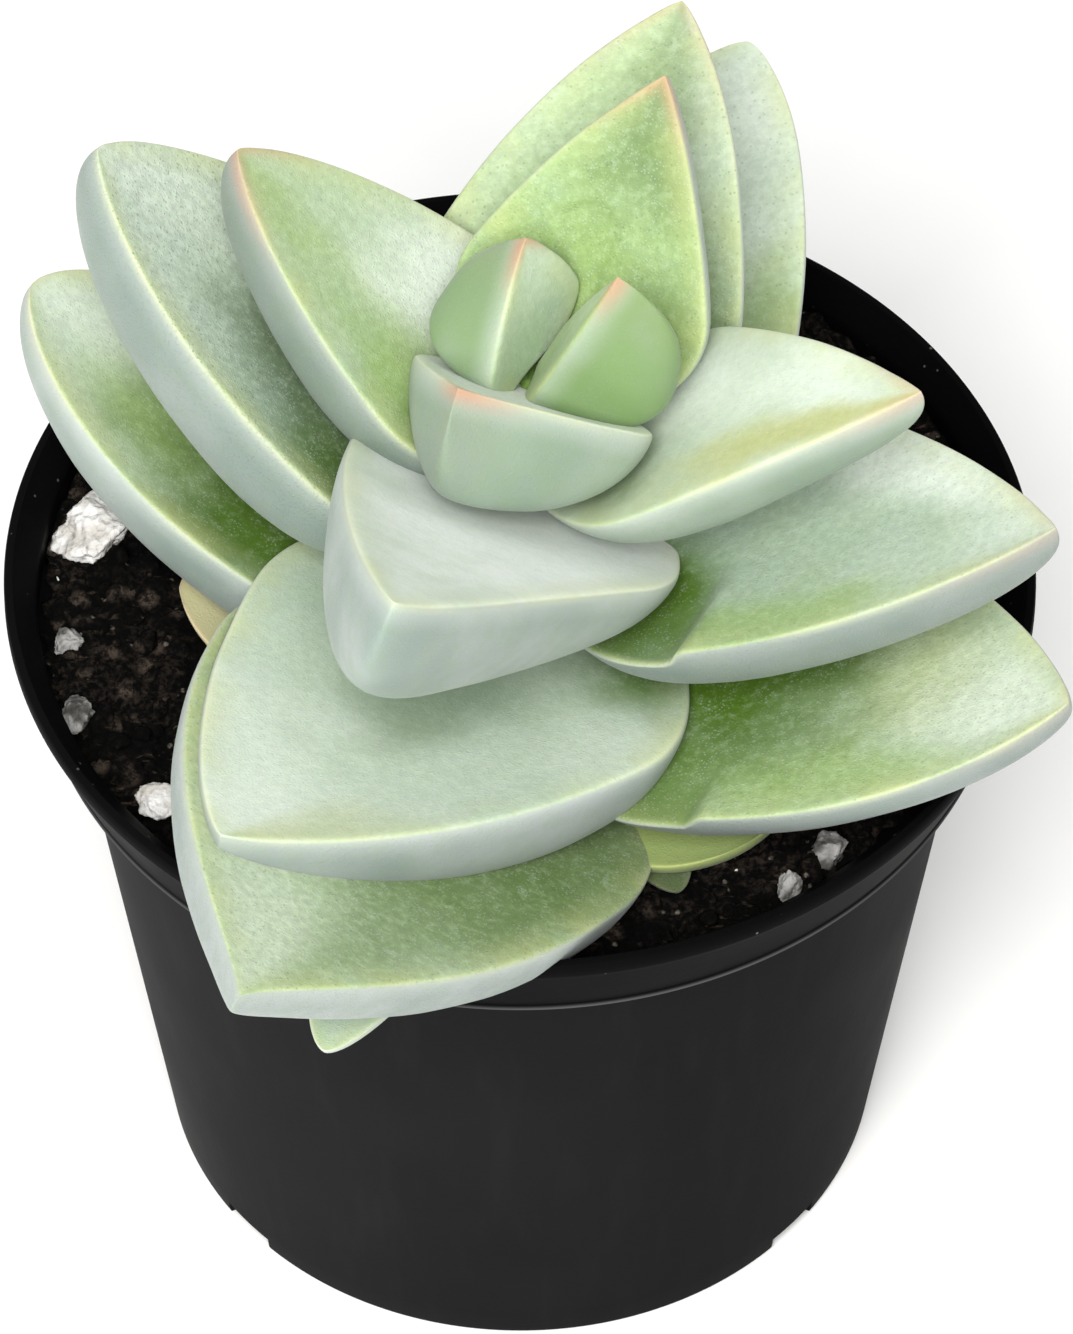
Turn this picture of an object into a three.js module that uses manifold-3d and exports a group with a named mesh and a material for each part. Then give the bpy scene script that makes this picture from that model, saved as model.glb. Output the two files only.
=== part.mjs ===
// Potted succulent: crossed pairs of thick keeled leaves on a short stem, in a round plastic nursery pot.
// Millimetres, +Z up. The origin is the centre of the pot's flat underside and -Y is the front.
import * as THREE from "three";
import { ParametricGeometry } from "three/addons/geometries/ParametricGeometry.js";
import { mergeVertices } from "three/addons/utils/BufferGeometryUtils.js";
import Module from "manifold-3d";

const wasm = await Module();
wasm.setup();

// Clearances
const GAP = 0.3;
const WELD = 1e-3;

// Pot
const POT_HEIGHT = 79;
const POT_SIDES = 48;
const BASE_RADIUS = 37.4;
const BASE_CHAMFER = 0.6;
const WALL_TOP_RADIUS = 46.6;
const BAND_BOTTOM = 68.4;
const BAND_BOTTOM_RADIUS = 49.2;
const BAND_BEAD = 0.5;
const RIM_RADIUS = 52.5;
const RIM_EDGE = 2;
const RIM_ROUND = 0.4;
const LIP_WIDTH = 1.8;
const LIP_DROP = 1.1;
const LEDGE_RADIUS = 49.2;
const LEDGE_Z = 76;
const WALL = 1.2;
const FLOOR = 2.4;
const NOTCH_WIDTH = 6.5;
const NOTCH_HEIGHT = 2;
const NOTCH_DEPTH = 4;
const NOTCH_ANGLES = [-140, -40, 40, 140];

// Soil
const SOIL_TOP = 72;
const SOIL_TILT = 0.07;
const SOIL_SIDES = 36;
const SOIL_RINGS = 6;
const SOIL_EDGE_DROP = 1;
const SOIL_LUMP = 0.55;
const BROAD_LUMPS = { x: 0.31, y: 0.27, shiftX: 1.3, shiftY: -0.4 };
const FINE_LUMPS = { x: 0.83, y: -0.71, crossX: 0.52, crossY: 0.95, shift: 2, share: 0.8 };
const GRAINS = 22;
const GRAIN_SEED = 7;
const GRAIN_SIZE = [1.1, 2.2];
const GRAIN_WIDTH = [0.5, 1];
const GRAIN_HEIGHT = [0.4, 0.8];
const GRAIN_RING = [25, 44.5];

// Stem
const STEM_X = 3.3;
const STEM_BOTTOM = 55;
const STEM_TOP = 107;
const STEM_RADII = [5, 3.2];
const STEM_SIDES = 16;

// Leaf section and stations
const LEAF_STATIONS = 10;
const LEAF_SLICES = 16;
const UPPER_FACE_SHARE = 0.25;
const BASE_START = 2;
const UPPER_DISH = 0.07;
const TIP_BOXY = 1.6;
const KEEL_SHARPNESS = 1.05;
const WIDTH_SHOULDER = 0.35;
const KEEL_SHOULDER = 0.5;
const KEEL_BASE_SHARE = 0.35;
const KEEL_TAPER = 0.3;
const KEEL_BLUNTNESS = 7;

// Each leaf: where its midline leaves the stem, its bearing from +X, its lift at base and tip in degrees,
// length, half width, keel depth, roll in degrees, the two exponents of its outline, how boxy its section is at
// the base, and the sideways bend at its tip. A leaf is pressed in by the leaves above it in this list.
const LEAVES = {
  leaf_apex_right: leaf([-1, 0, 108], -23, [66, 61], 20, 6, 14.5, -5, [1.8, 0.9], 4, -1.5),
  leaf_apex_left: leaf([3.5, 0, 108.5], 146, [92, 56], 14, 9.5, 13, -1, [1.8, 0.85], 4, 3.5),
  leaf_back_1: leaf([2.5, 0, 104], 64, [51, 52], 34, 16, 9, -2, [1.5, 0.9], 4, 2),
  leaf_front_1: leaf([4.5, 0.9, 106.8], -118, [42, 44], 21.5, 15, 9.5, -2, [1.75, 1.05], 4, 2.5),
  leaf_front_2: leaf([8.6, 5.3, 88.5], -124, [38, 37], 69, 22, 7.7, 2.5, [1.35, 0.75], 6, -13.5),
  leaf_left_1: leaf([4, 0, 100], 155, [35, 41], 42, 17, 12.5, -9, [1.85, 0.75], 4, -0.5),
  leaf_right_1: leaf([3.5, -0.5, 99], -24, [41, 26], 44.5, 15.5, 10, -4, [1.7, 0.9], 4, -0.5),
  leaf_back_2: leaf([1, 0.5, 96], 71, [35, 25], 47.5, 19, 9, 1, [1.9, 0.8], 6, 1.5),
  leaf_left_2: leaf([4, 1.5, 90.5], 158, [22, 46], 57, 23, 15, -13, [2.05, 0.7], 6, -2),
  leaf_right_2: leaf([4, 0, 89.5], -26, [16, 31], 57, 21.5, 10.5, 1, [2.05, 0.9], 6, 0),
  leaf_back_3: leaf([3, 0, 85], 69, [16, 11], 58.5, 19.5, 8, 2, [1.95, 0.65], 7, -0.5),
  leaf_front_3: leaf([5.4, -1, 82.5], -120.5, [13, 22], 64.5, 25.5, 15, 3.5, [1.95, 0.8], 7, 2.5),
  leaf_left_3: leaf([3, 0, 82.5], 158, [-2, 37], 58, 21.5, 13, -7, [2.15, 0.6], 7, -1),
  leaf_right_3: leaf([3, -4.5, 83.5], -29, [-6, 33], 59.5, 25.5, 8.5, -5, [1.85, 0.8], 7, 0.5),
  leaf_front_5: leaf([2, -1, 71.5], -108, [12, 7], 67, 10.5, 5.5, 0, [2.2, 0.6], 5, 0),
  leaf_front_4: leaf([1.8, -3, 71], -114, [25, 23.5], 86, 26, 16, 17.5, [3.3, 1.3], 7, -4.5),
  leaf_left_4: leaf([3, -1, 72], 180, [4, 12], 36, 13, 5, 0, [5, 0.6], 4, 0),
  leaf_right_4: leaf([3, -1, 70], -59, [4, 10], 35.5, 12.5, 7, -3, [7, 0.5], 4, 0),
  leaf_sprout: leaf([3, -1, 69.5], -70, [3, 4], 36, 5.5, 3.5, 0, [4, 0.6], 3, 0),
};

// How much of the full width a leaf has where it leaves the stem, and the leaves that differ from the rest
const BASE_SHARE = 0.55;
const CLASPING = { leaf_front_1: 0.6, leaf_front_2: 0.45 };

// How much the keel thins towards the tip, for the leaves that differ; it deepens where the share is negative
const TAPERING = { leaf_front_1: -0.4, leaf_front_2: -1.2, leaf_front_3: 0.3, leaf_front_4: 0.5 };

// Perlite lumps: centre and the three half sizes
const PERLITE = {
  perlite_1: [[-43.5, 10, 73.8], [4.2, 4, 2.8]],
  perlite_2: [[-46, -4, 72.2], [1.6, 1.9, 1.2]],
  perlite_3: [[-45, -13.5, 71.8], [1.8, 2.6, 1.6]],
  perlite_4: [[-36.5, -24.5, 71.2], [2.8, 2.1, 1.6]],
  perlite_5: [[31, -30.5, 70.9], [2, 2.2, 1.7]],
  perlite_6: [[27, -35, 70.4], [1.5, 1.9, 1.4]],
};
const LUMP_REACH = [0.8, 1.1];
const LUMP_GROWTH = 1.5;

// Colours
const POT_COLOUR = "#232325";
const SOIL_COLOUR = "#1c1512";
const STEM_COLOUR = "#7f9a5c";
const PERLITE_COLOUR = "#e9e7e2";
const LEAF_COLOUR = "#a9c7a2";
const OLD_LEAF_COLOUR = "#c3cf95";
const OLD_LEAVES = ["leaf_left_4", "leaf_right_4", "leaf_sprout"];
const PLASTIC_ROUGHNESS = 0.6;
const SOIL_ROUGHNESS = 0.95;
const STEM_ROUGHNESS = 0.6;
const PERLITE_ROUGHNESS = 0.9;
const LEAF_ROUGHNESS = 0.5;

// The named values of one leaf
function leaf(node, bearing, lift, length, half, depth, roll, outline, boxy, bend) {
  return { node, bearing, lift, length, half, depth, roll, outline, boxy, bend };
}

// A fixed run of numbers from 0 to 1 for the rough surfaces
function seeded(seed) {
  const STEP = 1664525;
  const SHIFT = 1013904223;
  const RANGE = 4294967296;
  let state = seed;
  return () => {
    state = (state * STEP + SHIFT) % RANGE;
    return state / RANGE;
  };
}

// The axes of a leaf at a share of its length: midline point, side direction and face normal
function leafFrame(shape, along, grow) {
  const [bearing, roll] = [shape.bearing, shape.roll].map(THREE.MathUtils.degToRad);
  const [baseLift, tipLift] = shape.lift.map(THREE.MathUtils.degToRad);
  const turn = tipLift - baseLift;
  const lift = baseLift + turn * along;
  const arc = (shape.length + 2 * grow) / turn;
  const reach = BASE_START - grow * Math.cos(baseLift) + arc * (Math.sin(lift) - Math.sin(baseLift));
  const rise = -grow * Math.sin(baseLift) + arc * (Math.cos(baseLift) - Math.cos(lift));
  const outward = new THREE.Vector3(Math.cos(bearing), Math.sin(bearing), 0);
  const sideways = new THREE.Vector3(Math.sin(bearing), -Math.cos(bearing), 0);
  const point = new THREE.Vector3(...shape.node);
  point.addScaledVector(outward, reach);
  point.addScaledVector(sideways, shape.bend * along ** 2);
  point.z += rise;
  const tangent = outward.clone().multiplyScalar(Math.cos(lift));
  tangent.z += Math.sin(lift);
  const side = sideways.clone().applyAxisAngle(tangent, -roll);
  const normal = new THREE.Vector3().crossVectors(side, tangent);
  return { point, side, normal };
}

// A rise from a share at the base to the whole at the end of the shoulder
function shoulder(along, end, baseShare) {
  const share = Math.min(along / end, 1);
  return baseShare + (1 - baseShare) * Math.sin((share * Math.PI) / 2);
}

// Half width of a leaf at a share of its length
function leafHalfWidth(shape, along, grow) {
  const outline = (1 - along ** shape.outline[0]) ** shape.outline[1];
  return shape.half * outline * shoulder(along, WIDTH_SHOULDER, shape.clasp) + grow;
}

// Keel depth of a leaf at a share of its length
function leafKeel(shape, along, grow) {
  const blunt = Math.sqrt(1 - along ** KEEL_BLUNTNESS);
  const taper = 1 - shape.taper * along;
  return shape.depth * blunt * taper * shoulder(along, KEEL_SHOULDER, KEEL_BASE_SHARE) + grow;
}

// A point of a leaf's section: the keeled underside first, then the slightly dished upper face
function leafSection(shape, along, round, grow) {
  const width = leafHalfWidth(shape, along, grow);
  if (round > 1 - UPPER_FACE_SHARE) {
    const across = 1 - (2 * (1 - round)) / UPPER_FACE_SHARE;
    return [width * across, grow - UPPER_DISH * width * (1 - across ** 2)];
  }
  const angle = (Math.PI * round) / (1 - UPPER_FACE_SHARE);
  const fullness = THREE.MathUtils.lerp(shape.boxy, TIP_BOXY, along ** 2);
  const [cosine, sine] = [Math.cos(angle), Math.sin(angle)];
  const across = Math.sign(cosine) * Math.abs(cosine) ** (2 / fullness);
  const drop = leafKeel(shape, along, grow) * Math.max(sine, 0) ** KEEL_SHARPNESS;
  return [width * across, grow * (1 - sine) - drop];
}

// A leaf as one closed surface, grown on all sides by the given amount
function leafGeometry(shape, grow) {
  const rows = LEAF_STATIONS + 1;
  return new ParametricGeometry(
    (round, share, target) => {
      const row = Math.round(share * rows) - 1;
      const along = Math.sin(((Math.max(row, 0) / LEAF_STATIONS) * Math.PI) / 2);
      const { point, side, normal } = leafFrame(shape, along, grow);
      target.copy(point);
      if (row < 0) {
        target.addScaledVector(normal, -leafKeel(shape, along, grow) / 2);
        return;
      }
      if (row === LEAF_STATIONS) {
        return;
      }
      const [across, up] = leafSection(shape, along, round % 1, grow);
      target.addScaledVector(side, across);
      target.addScaledVector(normal, up);
    },
    LEAF_SLICES,
    rows,
  );
}

// The solid inside a closed geometry
function solidOf(geometry) {
  geometry.deleteAttribute("normal");
  geometry.deleteAttribute("uv");
  const merged = mergeVertices(geometry, WELD);
  const corners = merged.index.array;
  const kept = [];
  for (let i = 0; i < corners.length; i += 3) {
    const [a, b, c] = corners.slice(i, i + 3);
    if (a !== b && b !== c && c !== a) {
      kept.push(a, b, c);
    }
  }
  const vertProperties = new Float32Array(merged.attributes.position.array);
  return new wasm.Manifold(new wasm.Mesh({ numProp: 3, vertProperties, triVerts: new Uint32Array(kept) }));
}

// The geometry of a solid
function geometryOf(solid) {
  const { vertProperties, triVerts } = solid.getMesh();
  const geometry = new THREE.BufferGeometry();
  geometry.setAttribute("position", new THREE.BufferAttribute(new Float32Array(vertProperties), 3));
  geometry.setIndex(new THREE.BufferAttribute(new Uint32Array(triVerts), 1));
  geometry.computeVertexNormals();
  return geometry;
}

// The largest body of a solid that its cuts may have parted
function largest(solid) {
  return solid.decompose().reduce((best, body) => (body.volume() > best.volume() ? body : best));
}

// A solid turned about the Z axis from a profile of [radius, height] points
function turned(profile, sides) {
  const geometry = new THREE.LatheGeometry(
    profile.map(([radius, height]) => new THREE.Vector2(radius, height)),
    sides,
  );
  geometry.rotateX(Math.PI / 2);
  return geometry;
}

// The inside of the pot from the lip down to the floor, moved inwards by the given amount
function potInside(inset) {
  const bandInside = BAND_BOTTOM_RADIUS - WALL;
  return [
    [LEDGE_RADIUS - inset, LEDGE_Z],
    [LEDGE_RADIUS - inset, SOIL_TOP],
    [bandInside - inset, BAND_BOTTOM + 2 * WALL],
    [WALL_TOP_RADIUS - WALL - inset, BAND_BOTTOM + WALL],
    [BASE_RADIUS - WALL - inset, FLOOR + inset],
  ];
}

// The pot's shell, grown on the leaf side by the given amount
function potSolid(grow) {
  const lip = POT_HEIGHT + grow;
  const profile = [
    [0, 0],
    [BASE_RADIUS - BASE_CHAMFER, 0],
    [BASE_RADIUS, BASE_CHAMFER],
    [WALL_TOP_RADIUS, BAND_BOTTOM],
    [BAND_BOTTOM_RADIUS, BAND_BOTTOM + BAND_BEAD / 2],
    [BAND_BOTTOM_RADIUS, BAND_BOTTOM + BAND_BEAD],
    [RIM_RADIUS + grow - RIM_ROUND / 2, POT_HEIGHT - RIM_EDGE],
    [RIM_RADIUS + grow, POT_HEIGHT - RIM_EDGE + RIM_ROUND],
    [RIM_RADIUS + grow, lip - RIM_ROUND],
    [RIM_RADIUS + grow - RIM_ROUND, lip],
    [RIM_RADIUS - LIP_WIDTH / 2 - grow, lip],
    [RIM_RADIUS - LIP_WIDTH - grow, lip - LIP_DROP],
    ...potInside(grow),
    [0, FLOOR],
  ];
  return solidOf(turned(profile, POT_SIDES));
}

// Four drain notches in the foot of the wall
function notches() {
  const boxes = NOTCH_ANGLES.map((angle) => {
    const box = new THREE.BoxGeometry(2 * NOTCH_DEPTH, NOTCH_WIDTH, 2 * NOTCH_HEIGHT);
    box.translate(BASE_RADIUS, 0, 0);
    box.rotateZ(THREE.MathUtils.degToRad(angle));
    return solidOf(box);
  });
  return wasm.Manifold.union(boxes);
}

// The stem, grown on all sides by the given amount
function stemSolid(grow) {
  const [bottom, top] = [STEM_BOTTOM - grow, STEM_TOP + grow];
  const profile = [
    [0, bottom],
    [STEM_RADII[0] + grow, bottom],
    [STEM_RADII[1] + grow, top],
    [0, top],
  ];
  const geometry = turned(profile, STEM_SIDES);
  geometry.translate(STEM_X, 0, 0);
  return solidOf(geometry);
}

// The height of the soil's surface over its middle: a slope up to the back, and lumps
function soilRise(x, y) {
  const [broad, fine] = [BROAD_LUMPS, FINE_LUMPS];
  const broadLump = Math.sin(broad.x * x + broad.shiftX) * Math.cos(broad.y * y + broad.shiftY);
  const across = Math.sin(fine.crossX * x + fine.crossY * y + fine.shift);
  const fineLump = Math.sin(fine.x * x + fine.y * y) * across;
  return SOIL_TILT * y + SOIL_LUMP * (broadLump + fine.share * fineLump);
}

// The soil: what fills the pot, with an uneven top and grains sunk half into it
function soilSolid() {
  const random = seeded(GRAIN_SEED);
  const inside = potInside(GAP).reverse();
  const edge = inside.pop()[0] - GAP;
  inside.pop();
  const rings = Array.from({ length: SOIL_RINGS }, (_, i) => [edge * (1 - (i + 1) / SOIL_RINGS), SOIL_TOP]);
  const profile = [[0, FLOOR + GAP], ...inside, [edge, SOIL_TOP - SOIL_EDGE_DROP], ...rings];
  const geometry = turned(profile, SOIL_SIDES);
  const position = geometry.attributes.position;
  for (let i = 0; i < position.count; i += 1) {
    if (position.getZ(i) > SOIL_TOP - WELD) {
      position.setZ(i, SOIL_TOP + soilRise(position.getX(i), position.getY(i)));
    }
  }
  const grains = Array.from({ length: GRAINS }, () => {
    const size = THREE.MathUtils.lerp(...GRAIN_SIZE, random());
    const angle = 2 * Math.PI * random();
    const radius = THREE.MathUtils.lerp(...GRAIN_RING, Math.sqrt(random()));
    const grain = new THREE.IcosahedronGeometry(size, 0);
    const width = THREE.MathUtils.lerp(...GRAIN_WIDTH, random());
    grain.scale(1, width, THREE.MathUtils.lerp(...GRAIN_HEIGHT, random()));
    grain.rotateZ(2 * Math.PI * random());
    const [x, y] = [radius * Math.cos(angle), radius * Math.sin(angle)];
    grain.translate(x, y, SOIL_TOP + soilRise(x, y));
    return solidOf(grain);
  });
  return wasm.Manifold.union([solidOf(geometry), ...grains]);
}

// One rough lump of perlite, grown on all sides by the given amount
function perliteSolid([centre, halfSizes], seed, grow) {
  const random = seeded(seed);
  const geometry = mergeVertices(plainIcosahedron(), WELD);
  const position = geometry.attributes.position;
  const point = new THREE.Vector3();
  for (let i = 0; i < position.count; i += 1) {
    point.fromBufferAttribute(position, i);
    point.multiplyScalar(THREE.MathUtils.lerp(...LUMP_REACH, random()));
    point.multiply(new THREE.Vector3(...halfSizes.map((size) => size + LUMP_GROWTH * grow)));
    position.setXYZ(i, ...point.toArray());
  }
  geometry.translate(...centre);
  return solidOf(geometry);
}

// An icosahedron of radius 1 with each face split in four
function plainIcosahedron() {
  const geometry = new THREE.IcosahedronGeometry(1, 1);
  geometry.deleteAttribute("normal");
  geometry.deleteAttribute("uv");
  return geometry;
}

// A named mesh with its own material
function mesh(name, solid, colour, roughness) {
  const material = new THREE.MeshStandardMaterial({ color: colour, roughness, metalness: 0 });
  const made = new THREE.Mesh(geometryOf(solid), material);
  made.name = name;
  return made;
}

// Every leaf cut by the stem, the pot and the younger leaves that press into it
function leafSolids() {
  const fixed = [stemSolid(GAP), potSolid(GAP)];
  const grown = [];
  const cut = {};
  for (const [name, measures] of Object.entries(LEAVES)) {
    const clasp = CLASPING[name] ?? BASE_SHARE;
    const taper = TAPERING[name] ?? KEEL_TAPER;
    const shape = { ...measures, clasp, taper };
    const whole = solidOf(leafGeometry(shape, 0));
    cut[name] = largest(whole.subtract(wasm.Manifold.union([...fixed, ...grown])));
    grown.push(solidOf(leafGeometry(shape, GAP)));
  }
  return { cut, grown };
}

const { cut: leaves, grown: grownLeaves } = leafSolids();
const lumps = Object.entries(PERLITE);
const leafSpace = wasm.Manifold.union(grownLeaves);
const lumpSpace = wasm.Manifold.union(lumps.map(([, lump], i) => perliteSolid(lump, i + 1, GAP)));
const taken = wasm.Manifold.union([leafSpace, lumpSpace, stemSolid(GAP), potSolid(GAP)]);
const soil = soilSolid().subtract(taken);

const plant = new THREE.Group();
plant.name = "potted_succulent";
plant.add(mesh("pot", potSolid(0).subtract(notches()), POT_COLOUR, PLASTIC_ROUGHNESS));
plant.add(mesh("soil", largest(soil), SOIL_COLOUR, SOIL_ROUGHNESS));
plant.add(mesh("stem", stemSolid(0), STEM_COLOUR, STEM_ROUGHNESS));
lumps.forEach(([name, lump], i) => {
  const solid = perliteSolid(lump, i + 1, 0).subtract(wasm.Manifold.union([leafSpace, potSolid(GAP)]));
  plant.add(mesh(name, largest(solid), PERLITE_COLOUR, PERLITE_ROUGHNESS));
});
for (const [name, solid] of Object.entries(leaves)) {
  const colour = OLD_LEAVES.includes(name) ? OLD_LEAF_COLOUR : LEAF_COLOUR;
  plant.add(mesh(name, solid, colour, LEAF_ROUGHNESS));
}

export default plant;
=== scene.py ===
# Looks of the potted succulent: fine leaves, soil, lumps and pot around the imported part, light and camera.
import math
from collections import namedtuple

import bmesh
import bpy
import numpy as np
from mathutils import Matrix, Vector, noise


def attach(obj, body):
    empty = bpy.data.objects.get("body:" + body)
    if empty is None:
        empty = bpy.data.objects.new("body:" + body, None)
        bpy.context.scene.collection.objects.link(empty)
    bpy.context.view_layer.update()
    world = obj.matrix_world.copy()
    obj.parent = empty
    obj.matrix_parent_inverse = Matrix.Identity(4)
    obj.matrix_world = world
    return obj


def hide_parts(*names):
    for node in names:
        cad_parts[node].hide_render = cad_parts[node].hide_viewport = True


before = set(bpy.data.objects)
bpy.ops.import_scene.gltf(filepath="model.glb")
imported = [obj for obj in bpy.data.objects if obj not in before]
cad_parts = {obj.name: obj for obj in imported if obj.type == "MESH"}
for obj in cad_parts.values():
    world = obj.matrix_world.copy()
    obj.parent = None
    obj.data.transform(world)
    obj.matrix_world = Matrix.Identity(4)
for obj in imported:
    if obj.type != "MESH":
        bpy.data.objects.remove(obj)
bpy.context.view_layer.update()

MM = 0.001
BODY = "root"

# Camera, in millimetres and degrees
CAMERA_TARGET = (1.685, 0, 63.519)
CAMERA_DISTANCE = 1200
CAMERA_ELEVATION = 49.338
CAMERA_LENS = 315.3
CAMERA_CLIP = (0.05, 20)
SENSOR = 36

# Light and floor, in metres and watts. Each lamp: name, place, size, power and colour
WORLD_STRENGTH = 0.65
LAMP_AIM = (0, 0, 0.08)
LAMPS = (
    ("key", (-0.12, -0.86, 1.05), 0.7, 22, (1, 0.99, 0.97)),
    ("side", (-1.0, -0.6, 0.3), 0.5, 3, (1, 1, 1)),
)
FLOOR_HALF = 3
FLOOR_ROUGHNESS = 0.85
FLOOR_NOISE = (40, 3)

# Pot
POT_HEIGHT = 79
POT_SIDES = 288
POT_CREASE = 32
BASE_RADIUS = 37.4
WALL_TOP_RADIUS = 46.6
BAND_BOTTOM = 68.4
BAND_BOTTOM_RADIUS = 49.2
RIM_RADIUS = 52.5
LEDGE_RADIUS = 49.2
LEDGE_Z = 76
NOTCH_WIDTH = 6.5
NOTCH_HEIGHT = 2
NOTCH_DEPTH = 4
NOTCH_ANGLES = (-140, -40, 40, 140)

# The marks that the pot's profile is measured from, and its corners as steps out and up from them: the foot,
# the wall, the bead, the band, the rounded rim with its lip, the ledge, and back down the inside
POT_MARKS = {
    "base": (BASE_RADIUS, 0),
    "wall": (WALL_TOP_RADIUS, BAND_BOTTOM),
    "band": (BAND_BOTTOM_RADIUS, BAND_BOTTOM),
    "rim": (RIM_RADIUS, POT_HEIGHT),
    "ledge": (LEDGE_RADIUS, LEDGE_Z),
}
POT_CORNERS = (
    ("base", ((-2, 0), (-0.6, 0), (-0.18, 0.18), (0, 0.6), (0.4, 3.6))),
    ("wall", ((-0.15, -1), (0, 0))),
    ("band", ((-0.1, 0.2), (0.35, 0.35), (0.35, 0.5), (0.12, 0.7), (0.35, 1.3))),
    ("rim", ((-0.45, -2.6), (-0.2, -2), (0, -1.6), (0, -0.4), (-0.12, -0.12), (-0.4, 0), (-0.9, 0))),
    ("rim", ((-1.8, -1.1),)),
    ("ledge", ((0.3, 0.5), (0, 0), (-0.02, -0.4), (0, -4))),
    ("band", ((-1.2, 2.4),)),
    ("wall", ((-1.2, 1.2),)),
    ("base", ((-1.2, 2.4),)),
)
CORNERS_IN_SOIL = 4

# Soil: a slope up to the back, broad and fine lumps, and crumbs from noise
SOIL_TOP = 72
SOIL_TILT = 0.07
SOIL_LUMP = 0.55
BROAD_LUMPS = {"x": 0.31, "y": 0.27, "shift_x": 1.3, "shift_y": -0.4}
FINE_LUMPS = {"x": 0.83, "y": -0.71, "cross_x": 0.52, "cross_y": 0.95, "shift": 2, "share": 0.8}
CRUMBLE = {"size": 2.6, "height": 0.75, "fractal": (0.6, 2.1, 5)}
PITS = {"size": 1.9, "depth": 0.6, "middle": 0.5}
PIT_CHANGE = {"size": 2, "share": 0.3}
SOIL_REACH = 49.1
SOIL_GAP = 0.1
SOIL_SKIRT = (45.2, 69.3)
SKIRT_DROP = 0.4
SOIL_FOOT = 44.5
SOIL_SECTORS = 400
SOIL_RINGS = 150
SOIL_DEPTH = 6
EDGE_TRIES = 4

# Loose bits on the soil: how many, seed, the smallest and largest size, how far from the middle
SOIL_CRUMBS = (1100, 11, (0.25, 1.5), (8, 48.5))
WHITE_CRUMBS = (46, 5, (0.2, 0.75), (18, 48))
BIT_SPLITS = 2
BIT_RARITY = 2.5
BIT_WIDTH = (0.35, 0.95)
BIT_HEIGHT = (0.3, 0.8)
BIT_TILT = 0.8
BIT_ROUGHNESS = {"height": 0.5, "pitch": 1.6, "apart": 7.1}
BIT_LIFT = 0.1
BIT_CLEARANCE = 1.1

# Stem
STEM_X = 3.3
STEM_BOTTOM = 55
STEM_TOP = 107
STEM_RADII = (5, 3.2)
STEM_SIDES = 64

# Leaf section and stations
LEAF_ROWS = 100
LEAF_POINTS = 128
SECTION_SAMPLES = 720
MARGIN_ROUND = 0.5
MARGIN_ROUNDS = {
    "leaf_apex_right": 0.9,
    "leaf_apex_left": 0.9,
    "leaf_front_1": 0.6,
    "leaf_front_2": 0.95,
    "leaf_front_3": 0.8,
    "leaf_right_1": 0.65,
}
MARGIN_SHARE = 0.03
MARGIN_CROWD = 6
MARGIN_REACH = 0.8
MARGIN_TURN = (-0.35, 0.25)
BASE_START = 2
UPPER_DISH = 0.07
TIP_BOXY = 1.6
KEEL_SHARPNESS = 1.05
WIDTH_SHOULDER = 0.35
KEEL_SHOULDER = 0.5
KEEL_BASE_SHARE = 0.35
KEEL_TAPER = 0.3
KEEL_BLUNTNESS = 7
BASE_SHARE = 0.55
BASE_EDGE = -5.0
SKIN_WAVE = 0.1
SKIN_WAVE_SIZE = 9

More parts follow.
